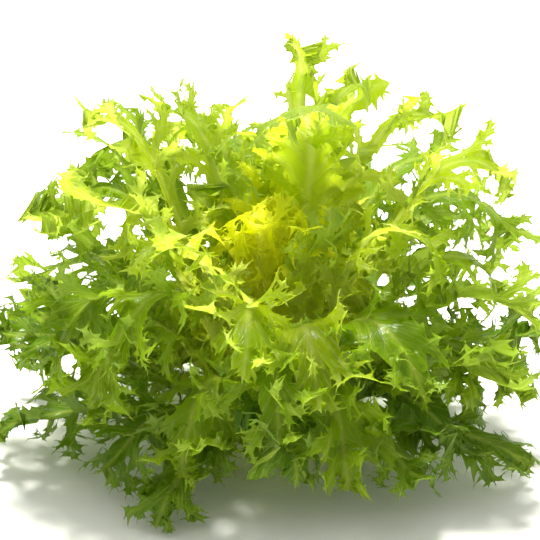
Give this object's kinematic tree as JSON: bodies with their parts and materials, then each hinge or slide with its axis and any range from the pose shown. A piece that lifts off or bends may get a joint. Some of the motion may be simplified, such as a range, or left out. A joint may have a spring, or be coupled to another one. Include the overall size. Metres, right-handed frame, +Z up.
{
  "type": "curly endive head",
  "caption": "Head of curly endive on its cut stem: a rosette of long lobed, ruffled leaves that arch out and fold over round a pale heart, open on one side.",
  "frame": {"origin": "middle of the stem's cut face, which is what the head stands on", "axes": "+Z up along the stem; -Y is the side where the head has opened and its heart shows; +X is to the right of someone who looks at that side"},
  "size_m": [0.3501, 0.302, 0.2445],
  "materials": {
    "stem": "stands in for a cut stem: pale cream, moist on the cut, matte on its sides",
    "outer_leaf": "stands in for leaf: deep green, satin, light shines through, pale ribs and veins",
    "middle_leaf": "stands in for leaf: lime green, satin, light shines through, pale ribs and veins",
    "inner_leaf": "stands in for leaf: yellow-green, satin, light shines through, pale ribs and veins",
    "heart": "stands in for young leaf: pale yellow, satin, light shines through"
  },
  "bodies": {
    "root": {"stem": "stem", "leaf_outer_01": "outer_leaf", "leaf_outer_02": "outer_leaf", "leaf_outer_03": "outer_leaf", "leaf_outer_04": "outer_leaf", "leaf_outer_05": "outer_leaf", "leaf_outer_06": "outer_leaf", "leaf_outer_07": "outer_leaf", "leaf_outer_08": "outer_leaf", "leaf_outer_09": "outer_leaf", "leaf_outer_10": "outer_leaf", "leaf_outer_11": "outer_leaf", "leaf_outer_12": "outer_leaf", "leaf_outer_13": "outer_leaf", "leaf_outer_14": "outer_leaf", "leaf_outer_15": "outer_leaf", "leaf_outer_16": "outer_leaf", "leaf_outer_17": "outer_leaf", "leaf_middle_01": "middle_leaf", "leaf_middle_02": "middle_leaf", "leaf_middle_03": "middle_leaf", "leaf_middle_04": "middle_leaf", "leaf_middle_05": "middle_leaf", "leaf_middle_06": "middle_leaf", "leaf_middle_07": "middle_leaf", "leaf_middle_08": "middle_leaf", "leaf_middle_09": "middle_leaf", "leaf_middle_10": "middle_leaf", "leaf_middle_11": "middle_leaf", "leaf_middle_12": "middle_leaf", "leaf_middle_13": "middle_leaf", "leaf_middle_14": "middle_leaf", "leaf_middle_15": "middle_leaf", "leaf_middle_16": "middle_leaf", "leaf_middle_17": "middle_leaf", "leaf_middle_18": "middle_leaf", "leaf_middle_19": "middle_leaf", "leaf_middle_20": "middle_leaf", "leaf_middle_21": "middle_leaf", "leaf_middle_22": "middle_leaf", "leaf_middle_23": "middle_leaf", "leaf_middle_24": "middle_leaf", "leaf_inner_01": "inner_leaf", "leaf_inner_02": "inner_leaf", "leaf_inner_03": "inner_leaf", "leaf_inner_04": "inner_leaf", "leaf_inner_05": "inner_leaf", "leaf_inner_06": "inner_leaf", "leaf_inner_07": "inner_leaf", "leaf_inner_08": "inner_leaf", "leaf_inner_09": "inner_leaf", "leaf_inner_10": "inner_leaf", "leaf_inner_11": "inner_leaf", "leaf_inner_12": "inner_leaf", "leaf_inner_13": "inner_leaf", "leaf_inner_14": "inner_leaf", "leaf_inner_15": "inner_leaf", "heart": "heart"}
  },
  "joints": []
}
